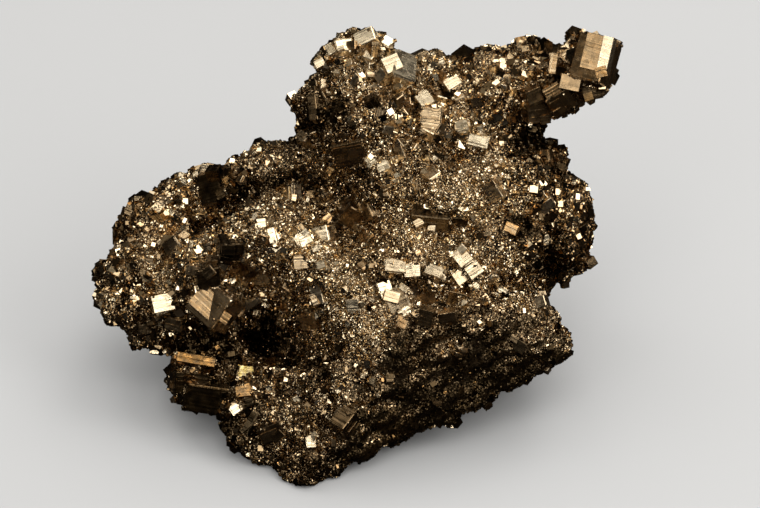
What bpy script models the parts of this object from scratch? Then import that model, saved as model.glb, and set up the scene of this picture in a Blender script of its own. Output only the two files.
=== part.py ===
"""A pyrite specimen: one cluster of intergrown crystals on the block of massive ore it grew from.

The cluster is laid out in the frame of its display face, in millimetres: u runs across the face, v runs up it
and w runs into the stone. The face leans back from upright by LEAN_DEG, and the stone is sawn flat at Z = 0.
"""

import math
import random

import bmesh
import bpy
from mathutils import Euler, Matrix, Vector, noise
from mathutils.bvhtree import BVHTree

MM = 0.001
LEAN_DEG = 35.0
FACE_ORIGIN_MM = (13.0, 38.0, 0.0)
SAW_SIDE_MM = 200.0

# The stone's skin: voxel size while its lobes are made one, and the triangles it is brought down to.
VOXEL_MM = 1.3
STONE_TRIANGLES = 4200

# Relief of the skin: height and spacing of swells, knobs and grit, and the share left on the broken faces.
SWELL_MM, SWELL_SPACING_MM = 1.6, 13.0
KNOB_MM, KNOB_SPACING_MM = 3.4, 7.5
GRIT_MM, GRIT_SPACING_MM = 1.5, 4.2
BROKEN_RELIEF = 0.35

# Rounded lobes of the stone: centre (u, v, w) and radii along u, v and w.
LOBES = {
    "crown_top": ((12.2, 84.2, 9.0), (8.6, 8.4, 8.6)),
    "crown_right": ((18.6, 80.0, 8.5), (5.6, 8.6, 8.0)),
    "crown": ((12.2, 75.0, 9.8), (10.0, 9.6, 10.4)),
    "crown_left": ((6.0, 69.5, 14.0), (7.6, 8.5, 9.0)),
    "crown_foot": ((16.0, 63.0, 12.0), (8.0, 9.5, 9.0)),
    "crown_spur": ((2.6, 76.6, 12.5), (5.4, 7.2, 5.5)),
    "notch_bump": ((26.2, 84.6, 13.0), (5.0, 5.8, 6.0)),
    "shoulder": ((28.0, 73.0, 15.0), (11.0, 10.5, 11.0)),
    "arm_root": ((38.6, 79.4, 17.0), (11.0, 10.6, 10.0)),
    "arm": ((49.0, 82.4, 15.5), (9.5, 8.2, 8.5)),
    "arm_tip": ((58.2, 85.4, 13.0), (6.2, 7.0, 7.0)),
    "arm_pit": ((42.8, 71.2, 18.0), (6.4, 5.6, 7.0)),
    "right_knob": ((49.0, 65.5, 22.0), (4.8, 5.2, 6.0)),
    "right_lobe": ((52.2, 53.0, 29.0), (7.4, 12.4, 11.0)),
    "right_upper": ((41.0, 62.0, 14.0), (9.6, 9.5, 11.0)),
    "right_middle": ((40.5, 50.0, 11.5), (10.5, 9.0, 10.0)),
    "saddle": ((30.5, 58.5, 10.5), (9.0, 8.0, 8.5)),
    "centre": ((20.5, 47.5, 9.0), (10.5, 7.6, 8.5)),
    "centre_right": ((31.5, 45.5, 7.5), (9.0, 7.0, 8.5)),
    "plateau": ((-6.5, 51.0, 9.6), (11.0, 7.0, 8.8)),
    "plateau_right": ((4.6, 44.2, 7.4), (8.6, 7.2, 8.0)),
    "plateau_foot": ((12.6, 36.6, 4.6), (6.6, 8.6, 8.0)),
    "left_lobe": ((-31.0, 40.0, 20.0), (10.8, 10.2, 10.0)),
    "left_tip": ((-38.4, 40.5, 21.0), (4.4, 5.6, 6.0)),
    "left_chin": ((-29.5, 32.0, 19.0), (7.4, 5.4, 6.0)),
    "left_neck": ((-21.0, 42.0, 16.0), (9.0, 10.0, 9.5)),
    "left_brow": ((-29.0, 51.0, 25.0), (9.0, 8.6, 9.0)),
    "far_left": ((-23.0, 58.5, 31.0), (6.4, 6.0, 8.0)),
    "far_left_saddle": ((-15.5, 60.0, 28.0), (8.4, 6.6, 9.0)),
    "rear_ridge": ((-7.5, 63.8, 20.0), (8.4, 7.2, 9.5)),
    "rear_ridge_right": ((-2.0, 64.0, 18.0), (6.0, 6.2, 9.0)),
    "low_left": ((-20.6, 21.5, 15.0), (6.4, 6.0, 7.5)),
    "low_left_neck": ((-16.6, 29.6, 17.0), (5.6, 6.0, 7.0)),
    "hidden_core": ((10.0, 44.0, 28.0), (27.0, 21.0, 22.0)),
    "hidden_back": ((15.0, 50.0, 44.0), (26.0, 17.0, 16.0)),
    "hidden_top": ((22.0, 72.0, 22.0), (20.0, 11.0, 11.0)),
    "hidden_left": ((-14.0, 42.0, 34.0), (15.0, 13.0, 16.0)),
    "hidden_right": ((38.0, 44.0, 36.0), (14.0, 15.0, 15.0)),
    "hidden_spine": ((19.0, 61.0, 34.0), (18.0, 14.0, 14.0)),
}

# The two halves of the broken block of massive ore: their corners (u, v, w), those of the display face first.
BLOCK_CORNERS = {
    "left_half": (
        (-0.2, -1.4, 0.4),
        (-14.2, 6.8, 6.0),
        (-14.5, 17.0, 5.5),
        (-6.0, 25.0, 5.0),
        (6.0, 26.0, 3.2),
        (15.0, 26.0, -1.0),
        (24.0, 32.0, -6.4),
        (25.2, 11.0, 5.5),
        (10.2, 4.9, 3.6),
        (-20.0, 25.0, 44.0),
        (36.0, 24.0, 42.0),
    ),
    "right_half": (
        (15.0, 27.0, -0.5),
        (19.0, 37.0, -4.0),
        (24.0, 32.5, -6.6),
        (34.0, 38.0, -2.5),
        (49.0, 39.5, 5.5),
        (55.4, 27.2, 7.0),
        (40.0, 20.8, 6.5),
        (25.2, 11.0, 5.5),
        (10.2, 4.9, 4.0),
        (46.0, 24.0, 40.0),
        (-12.0, 38.0, 62.0),
        (36.0, 40.0, 64.0),
    ),
}
# The block's big broken face looks down and to the right: its outward direction in (u, v, w).
BROKEN_FACE_DIRECTION = (0.35, -0.62, -0.70)

# Pits and crevices: centre (u, v, w), radius, and how deep the skin is drawn in.
PITS = {
    "crown_crevice": ((11.0, 52.0, 3.0), 4.6, 6.0),
    "crown_hollow": ((4.0, 58.0, 9.0), 4.6, 3.5),
    "plateau_under_left": ((-7.0, 34.0, 9.0), 5.0, 4.0),
    "plateau_under": ((-0.5, 31.0, 7.0), 5.0, 5.0),
    "plateau_under_right": ((5.5, 28.6, 4.0), 4.0, 3.0),
    "left_valley": ((-14.0, 46.5, 10.0), 4.0, 3.0),
    "shoulder_pocket": ((28.0, 68.6, 5.0), 3.6, 3.2),
    "arm_armpit": ((44.6, 72.6, 12.0), 4.0, 3.0),
    "slab_pocket": ((30.5, 52.6, 3.0), 3.4, 2.6),
    "right_valley": ((45.4, 53.0, 14.0), 4.4, 3.4),
    "brick_pocket": ((16.6, 42.6, 1.0), 2.6, 2.0),
    "foot_nick": ((-5.0, 7.0, 3.0), 2.8, 2.0),
}

# Crystals of the display face. Each has the point (u, v) of the face behind which its centre lies, its sides,
# its tip about u, turn about v and spin about w in degrees, and how far it stands out of the stone's skin.
FACE_CRYSTALS = {
    "crown_cube": ((19.4, 84.2), (5.6, 5.6, 5.6), (28, -32, -20), 3.2),
    "crown_peak": ((13.4, 90.0), (4.2, 3.4, 3.6), (35, 10, 25), 1.6),
    "crown_peak_left": ((8.8, 88.4), (3.6, 2.8, 3.0), (30, -15, 10), 1.6),
    "crown_peak_right": ((16.6, 89.4), (3.8, 2.6, 3.0), (40, 15, -30), 1.2),
    "crown_left_cube": ((4.4, 79.0), (2.6, 2.6, 2.6), (-15, 30, 20), 1.2),
    "crown_dark_cube": ((10.0, 68.6), (6.2, 5.2, 5.2), (-32, 14, 12), 2.4),
    "crown_black_cube": ((14.6, 77.4), (2.4, 2.8, 2.6), (-25, 15, 30), 1.2),
    "crown_column": ((3.0, 76.6), (1.7, 5.0, 3.0), (4, 22, 8), 1.6),
    "crown_low_left": ((14.0, 65.6), (1.9, 1.9, 1.9), (10, -20, 40), 1.0),
    "crown_low_right": ((16.8, 64.6), (2.1, 1.8, 1.9), (15, 5, 25), 1.0),
    "crown_slab": ((20.2, 68.6), (1.8, 4.2, 2.6), (5, 30, 25), 1.2),
    "striped_cube": ((26.6, 74.2), (4.0, 5.0, 4.4), (-6, 10, -6), 2.4),
    "striped_mate": ((24.8, 78.0), (2.8, 3.2, 3.0), (10, -15, 35), 1.8),
    "shoulder_block": ((35.6, 69.6), (4.2, 2.4, 3.0), (15, -5, -14), 1.8),
    "shoulder_bead": ((32.8, 72.6), (2.2, 2.2, 2.2), (20, 10, 15), 1.2),
    "shoulder_plate": ((30.6, 81.6), (3.2, 2.2, 2.4), (12, -10, 32), 1.2),
    "arm_end_block": ((59.4, 86.2), (6.8, 9.2, 7.0), (4, 24, -14), 3.4),
    "arm_end_low": ((58.2, 80.8), (4.8, 3.8, 4.4), (-14, -18, 12), 2.8),
    "arm_end_keel": ((52.6, 78.8), (5.0, 4.2, 4.4), (-26, 14, 30), 2.4),
    "arm_under": ((47.6, 76.6), (4.8, 4.4, 4.8), (-22, -14, 10), 2.2),
    "arm_blade": ((51.2, 85.6), (1.6, 4.2, 2.2), (5, 12, -8), 1.2),
    "arm_gem": ((53.8, 86.8), (2.4, 2.4, 2.4), (15, -25, 30), 1.2),
    "knob_cube": ((49.4, 66.6), (2.8, 2.8, 2.8), (20, 20, 10), 1.6),
    "far_left_block": ((-18.0, 60.6), (5.2, 6.0, 5.0), (10, 25, 20), 2.6),
    "left_beacon": ((-28.0, 37.0), (4.4, 3.6, 3.4), (10, -8, 12), 2.2),
    "left_jewel": ((-17.4, 36.8), (8.2, 7.4, 6.0), (-8, 26, -40), 3.6),
    "left_olive": ((-18.8, 43.0), (4.6, 4.0, 4.0), (-24, -10, 10), 2.0),
    "valley_dark": ((-13.8, 48.6), (5.0, 4.0, 4.4), (-32, -16, 4), 2.2),
    "valley_brown": ((-11.6, 43.9), (3.4, 3.4, 3.4), (-22, 30, 25), 1.5),
    "cave_gem": ((-9.4, 32.8), (4.2, 4.2, 4.2), (24, 30, 10), 1.4),
    "left_blade": ((-10.4, 37.4), (4.4, 1.6, 2.6), (-15, 10, 28), 1.8),
    "left_chin_cube": ((-32.0, 32.4), (3.0, 2.4, 2.8), (-15, -20, 10), 1.4),
    "left_chin_mate": ((-25.6, 33.2), (3.4, 2.6, 2.8), (-20, 12, -12), 1.4),
    "plateau_tile": ((-7.8, 53.2), (1.9, 1.8, 1.8), (15, 0, 5), 0.9),
    "plateau_splinter": ((-5.4, 50.8), (1.4, 3.0, 1.8), (5, 15, 14), 0.9),
    "plateau_cube": ((0.6, 49.8), (3.0, 3.0, 3.0), (18, -12, 28), 1.5),
    "plateau_tan": ((0.4, 45.6), (3.0, 2.4, 2.6), (-5, 10, 5), 1.3),
    "hollow_gem": ((11.0, 55.6), (4.8, 4.8, 4.8), (-20, 35, 45), 2.2),
    "hollow_gem_mate": ((14.6, 56.2), (3.4, 3.4, 3.4), (10, -30, 20), 1.5),
    "plateau_stripe": ((3.8, 39.6), (2.2, 4.6, 3.0), (-5, 25, 12), 1.4),
    "centre_brick": ((18.8, 44.6), (4.2, 2.4, 2.6), (12, -10, -6), 1.6),
    "centre_white": ((22.8, 43.6), (3.0, 2.4, 2.6), (10, 8, 4), 1.7),
    "big_pale": ((19.2, 37.4), (4.6, 5.8, 5.0), (0, -12, 22), 3.0),
    "big_pale_left": ((16.6, 39.8), (3.0, 3.2, 3.0), (8, -25, 18), 2.6),
    "big_pale_right": ((22.2, 38.0), (3.6, 5.0, 4.0), (-4, 30, 20), 2.2),
    "centre_slab": ((27.0, 43.4), (4.6, 2.2, 3.0), (15, -5, -22), 1.4),
    "tile_top": ((32.2, 46.2), (3.2, 3.4, 3.2), (8, -14, 36), 1.8),
    "tile_right": ((34.6, 43.8), (3.2, 3.0, 3.2), (6, -10, 36), 1.8),
    "tile_low": ((31.8, 42.6), (3.0, 2.8, 3.0), (-4, -16, 36), 1.5),
    "tile_small": ((34.8, 40.8), (1.8, 1.7, 1.8), (4, -6, 36), 1.2),
    "dark_slab": ((26.4, 54.8), (7.6, 3.4, 5.0), (-38, 6, -6), 2.2),
    "dark_slab_step": ((31.4, 54.4), (4.4, 1.8, 3.0), (-30, 0, -2), 1.6),
    "right_pale": ((40.4, 39.4), (3.2, 1.8, 2.0), (5, 5, -28), 1.1),
    "right_rim_cube": ((48.6, 37.6), (2.2, 2.2, 2.2), (10, 25, 20), 1.2),
    "amber_chip": ((42.6, 52.4), (2.8, 1.8, 2.0), (-10, 15, -25), 1.1),
    "amber_plate": ((-21.6, 25.0), (7.8, 2.0, 6.0), (20, -6, -10), 2.6),
    "low_block_upper": ((-22.6, 21.4), (6.6, 4.0, 6.0), (-4, -12, -4), 3.0),
    "low_block": ((-19.2, 18.4), (8.6, 5.6, 7.0), (-10, -8, -8), 3.2),
    "yellow_cube": ((-11.4, 23.0), (2.8, 2.6, 2.6), (10, -10, -4), 1.5),
    "brown_cube": ((-11.2, 19.6), (3.0, 2.2, 2.4), (5, 15, 8), 1.2),
    "lower_spark": ((-12.8, 16.0), (1.9, 1.9, 1.9), (10, 5, 35), 1.0),
    "lower_fin": ((-9.6, 13.4), (1.6, 4.6, 2.6), (-5, 20, -32), 1.6),
    "lower_tablet": ((-5.8, 12.0), (4.8, 3.4, 3.6), (-22, 10, 22), 1.8),
    "lower_pale": ((2.4, 9.6), (1.8, 2.2, 1.8), (0, 10, 5), 0.9),
}

# Crystals strewn over the rest of the stone, found by rays aimed at its middle.
STREWN_SEED = 7
STREWN_RAYS = 150
STREWN_SIDES_MM = (1.8, 4.6)
STREWN_AIM = (10.0, 46.0, 28.0)
STREWN_START_MM = 120.0
STREWN_LEAST_Z_MM = 6.0
CRYSTAL_SPACING = 0.62
GOLDEN_ANGLE = math.pi * (3.0 - math.sqrt(5.0))


def face_frame():
    """World matrix of the display face's frame, whose own unit is the millimetre."""
    lean = math.radians(LEAN_DEG)
    axes = Matrix(
        (
            (1, 0, 0, 0),
            (0, math.sin(lean), math.cos(lean), 0),
            (0, math.cos(lean), -math.sin(lean), 0),
            (0, 0, 0, 1),
        )
    )
    return Matrix.Scale(MM, 4) @ Matrix.Translation(-Vector(FACE_ORIGIN_MM)) @ axes


def object_of(name, mesh):
    obj = bpy.data.objects.new(name, mesh)
    bpy.context.scene.collection.objects.link(obj)
    return obj


def evaluated_mesh(obj):
    graph = bpy.context.evaluated_depsgraph_get()
    return bpy.data.meshes.new_from_object(obj.evaluated_get(graph))


def add_lobe(bm, centre, radii):
    place = Matrix.Translation(centre) @ Matrix.Diagonal((*radii, 1))
    bmesh.ops.create_icosphere(bm, subdivisions=4, radius=1.0, matrix=place)


def add_block(bm, corners):
    points = [bm.verts.new(corner) for corner in corners]
    made = bmesh.ops.convex_hull(bm, input=points)
    bmesh.ops.delete(bm, geom=made["geom_interior"], context="VERTS")


def relief(point, normal):
    """How far the skin stands out at a point, in millimetres."""
    swell = SWELL_MM * noise.noise(point / SWELL_SPACING_MM)
    nearest = noise.voronoi(point / KNOB_SPACING_MM)[0][0]
    knob = KNOB_MM * (0.42 - nearest)
    grit = GRIT_MM * noise.noise(point / GRIT_SPACING_MM)
    pit = sum(
        depth * math.exp(-(((point - Vector(centre)).length / radius) ** 2))
        for centre, radius, depth in PITS.values()
    )
    facing = normal.dot(Vector(BROKEN_FACE_DIRECTION).normalized())
    broken = min(max((facing - 0.75) / 0.2, 0.0), 1.0)
    return (swell + knob + grit) * (1.0 - broken * (1.0 - BROKEN_RELIEF)) - pit


def keep_largest_piece(mesh):
    """Drop loose crumbs and the walls of pockets sealed inside the stone."""
    bm = bmesh.new()
    bm.from_mesh(mesh)
    unseen = set(bm.verts)
    pieces = []
    while unseen:
        piece = []
        waiting = [unseen.pop()]
        while waiting:
            vertex = waiting.pop()
            piece.append(vertex)
            for edge in vertex.link_edges:
                other = edge.other_vert(vertex)
                if other in unseen:
                    unseen.remove(other)
                    waiting.append(other)
        pieces.append(piece)
    for piece in pieces:
        if len(piece) < max(map(len, pieces)):
            bmesh.ops.delete(bm, geom=piece, context="VERTS")
    bm.to_mesh(mesh)
    bm.free()


def stone_mesh():
    """The stone without its crystals: lobes and block under one rough skin, in the face's frame."""
    bm = bmesh.new()
    for centre, radii in LOBES.values():
        add_lobe(bm, centre, radii)
    for corners in BLOCK_CORNERS.values():
        add_block(bm, corners)
    bmesh.ops.recalc_face_normals(bm, faces=bm.faces)
    mesh = bpy.data.meshes.new("lobes")
    bm.to_mesh(mesh)
    bm.free()
    skin = object_of("skin", mesh)
    remesh = skin.modifiers.new("one_skin", "REMESH")
    remesh.mode = "VOXEL"
    remesh.voxel_size = VOXEL_MM
    smooth = skin.modifiers.new("soften_creases", "SMOOTH")
    smooth.factor = 0.5
    smooth.iterations = 2
    skin.data = evaluated_mesh(skin)
    skin.modifiers.clear()
    heights = [relief(vertex.co, vertex.normal) for vertex in skin.data.vertices]
    moved = [vertex.co + vertex.normal * height for vertex, height in zip(skin.data.vertices, heights)]
    for vertex, place in zip(skin.data.vertices, moved):
        vertex.co = place
    remesh = skin.modifiers.new("one_skin_again", "REMESH")
    remesh.mode = "VOXEL"
    remesh.voxel_size = VOXEL_MM
    skin.data = evaluated_mesh(skin)
    skin.modifiers.clear()
    keep_largest_piece(skin.data)
    decimate = skin.modifiers.new("fewer_faces", "DECIMATE")
    decimate.ratio = STONE_TRIANGLES / (2 * len(skin.data.polygons))
    made = evaluated_mesh(skin)
    bpy.data.objects.remove(skin)
    return made


def skin_tree(mesh):
    bm = bmesh.new()
    bm.from_mesh(mesh)
    tree = BVHTree.FromBMesh(bm)
    bm.free()
    return tree


def reach(turn, sides, direction):
    """Distance from a crystal's centre to its surface against a direction."""
    along = [abs(turn.col[i].dot(direction)) for i in range(3)]
    return min(side / 2 / share for side, share in zip(sides, along) if share > 1e-6)


def turn_of(degrees):
    return Euler([math.radians(angle) for angle in degrees]).to_matrix()


def crystal_at(tree, start, direction, sides, degrees, rise):
    """(centre, turn, sides) of a crystal on the skin where a ray meets it, or None where it meets nothing."""
    hit = tree.ray_cast(start, direction)[0]
    if hit is None:
        return None
    turn = turn_of(degrees)
    return hit + direction * (reach(turn, sides, direction) - rise), turn, sides


def face_crystals(tree):
    into = Vector((0, 0, 1))
    for name, ((u, v), sides, degrees, rise) in FACE_CRYSTALS.items():
        made = crystal_at(tree, Vector((u, v, -STREWN_START_MM)), into, sides, degrees, rise)
        if made is None:
            raise ValueError(f"{name} lies off the stone")
        yield made


def strewn_crystals(tree):
    """Crystals on a golden spiral of rays, which covers the stone evenly."""
    rng = random.Random(STREWN_SEED)
    to_world = face_frame()
    for i in range(STREWN_RAYS):
        height = 1 - 2 * (i + 0.5) / STREWN_RAYS
        ring = math.sqrt(1 - height * height)
        out = Vector((ring * math.cos(i * GOLDEN_ANGLE), ring * math.sin(i * GOLDEN_ANGLE), height))
        low, high = STREWN_SIDES_MM
        size = low + (high - low) * rng.random() ** 2
        sides = tuple(size * rng.uniform(0.75, 1.15) for _ in range(3))
        degrees = tuple(rng.uniform(-45, 45) for _ in range(3))
        start = Vector(STREWN_AIM) + out * STREWN_START_MM
        made = crystal_at(tree, start, -out, sides, degrees, size * rng.uniform(0.3, 0.5))
        if made is not None and (to_world @ made[0]).z > STREWN_LEAST_Z_MM * MM:
            yield made


def clear_of(centre, sides, others):
    return all(
        (centre - other).length > CRYSTAL_SPACING * (max(sides) + max(other_sides))
        for other, _, other_sides in others
    )


def all_crystals(tree):
    crystals = list(face_crystals(tree))
    for crystal in strewn_crystals(tree):
        if clear_of(crystal[0], crystal[2], crystals):
            crystals.append(crystal)
    return crystals


def add_crystal_cutters(crystals):
    """One hidden box for each crystal, in a collection that the stone's Boolean reads."""
    collection = bpy.data.collections.new("crystals")
    bpy.context.scene.collection.children.link(collection)
    for i, (centre, turn, sides) in enumerate(crystals):
        bm = bmesh.new()
        place = Matrix.Translation(centre) @ turn.to_4x4() @ Matrix.Diagonal((*sides, 1))
        bmesh.ops.create_cube(bm, size=1.0, matrix=face_frame() @ place)
        bmesh.ops.recalc_face_normals(bm, faces=bm.faces)
        mesh = bpy.data.meshes.new(f"crystal_{i:03d}")
        bm.to_mesh(mesh)
        bm.free()
        helper = bpy.data.objects.new(mesh.name, mesh)
        collection.objects.link(helper)
        helper.hide_render = True
        helper.display_type = "WIRE"
    collection.hide_render = True
    return collection


def add_saw():
    """A hidden box below Z = 0, which cuts the base flat."""
    bm = bmesh.new()
    side = SAW_SIDE_MM * MM
    bmesh.ops.create_cube(bm, size=side, matrix=Matrix.Translation((0, 0, -side / 2)))
    mesh = bpy.data.meshes.new("saw")
    bm.to_mesh(mesh)
    bm.free()
    saw = object_of("saw", mesh)
    saw.hide_render = True
    saw.display_type = "WIRE"
    return saw


def pyrite():
    material = bpy.data.materials.new("pyrite")
    material.use_nodes = True
    shader = material.node_tree.nodes["Principled BSDF"]
    shader.inputs["Base Color"].default_value = (0.42, 0.33, 0.19, 1.0)
    shader.inputs["Metallic"].default_value = 1.0
    shader.inputs["Roughness"].default_value = 0.35
    return material


def main():
    for obj in list(bpy.data.objects):
        bpy.data.objects.remove(obj)
    mesh = stone_mesh()
    crystals = all_crystals(skin_tree(mesh))
    mesh.transform(face_frame())
    cluster = object_of("pyrite_cluster", mesh)
    cluster.data.materials.append(pyrite())
    grow = cluster.modifiers.new("grow_crystals", "BOOLEAN")
    grow.operation = "UNION"
    grow.operand_type = "COLLECTION"
    grow.collection = add_crystal_cutters(crystals)
    cut = cluster.modifiers.new("saw_base", "BOOLEAN")
    cut.operation = "DIFFERENCE"
    cut.object = add_saw()
    grown = evaluated_mesh(cluster)
    keep_largest_piece(grown)
    cluster.modifiers.clear()
    cluster.data = grown
    for helper in list(bpy.data.objects):
        if helper != cluster:
            bpy.data.objects.remove(helper)


main()
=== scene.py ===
"""Finish of the pyrite specimen: its ore, the crust of small cubes and the larger crystals grown from it.

Places are given in the frame of the specimen's display face, in millimetres: u runs across the face, v up
it and w into the stone. The face leans back from upright by LEAN_DEG over a flat sawn base at Z = 0.
"""

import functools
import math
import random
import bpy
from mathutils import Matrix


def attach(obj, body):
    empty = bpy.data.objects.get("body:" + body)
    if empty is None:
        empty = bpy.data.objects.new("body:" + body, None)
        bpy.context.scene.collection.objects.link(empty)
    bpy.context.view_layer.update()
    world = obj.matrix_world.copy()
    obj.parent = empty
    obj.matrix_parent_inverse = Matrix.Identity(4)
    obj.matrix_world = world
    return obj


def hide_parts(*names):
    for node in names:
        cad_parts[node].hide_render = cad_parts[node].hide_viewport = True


bl_info = {
    "name": "Pyrite Specimen",
    "version": (1, 0, 0),
    "blender": (4, 5, 0),
    "location": "3D View > Sidebar > Pyrite",
    "description": "Ore, crust and crystals of a pyrite cluster, on its packed solid",
    "category": "Object",
}

import bmesh
import bpy
import numpy as np
from bpy.props import FloatProperty, FloatVectorProperty, IntProperty, PointerProperty
from mathutils import Euler, Matrix, Quaternion, Vector, noise
from mathutils.bvhtree import BVHTree

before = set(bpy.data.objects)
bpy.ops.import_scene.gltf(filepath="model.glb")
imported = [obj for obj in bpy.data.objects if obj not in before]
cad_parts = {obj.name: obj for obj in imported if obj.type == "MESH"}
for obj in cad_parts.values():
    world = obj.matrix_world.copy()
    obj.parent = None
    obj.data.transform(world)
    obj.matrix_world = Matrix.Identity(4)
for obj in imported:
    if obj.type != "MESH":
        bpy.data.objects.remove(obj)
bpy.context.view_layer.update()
NODE = "pyrite_cluster"

MM = 0.001
TINY = 1e-9
LEAN_DEG = 35.0
FACE_ORIGIN_MM = (13.0, 38.0, 0.0)
AIM_MM = (16.0, 47.2, 0.0)
LENS_MM, SENSOR_MM = 200.0, 36.0
VIEW_WIDTH_MM = 152.0
CAMERA_CLIPS = (0.01, 20.0)

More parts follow.
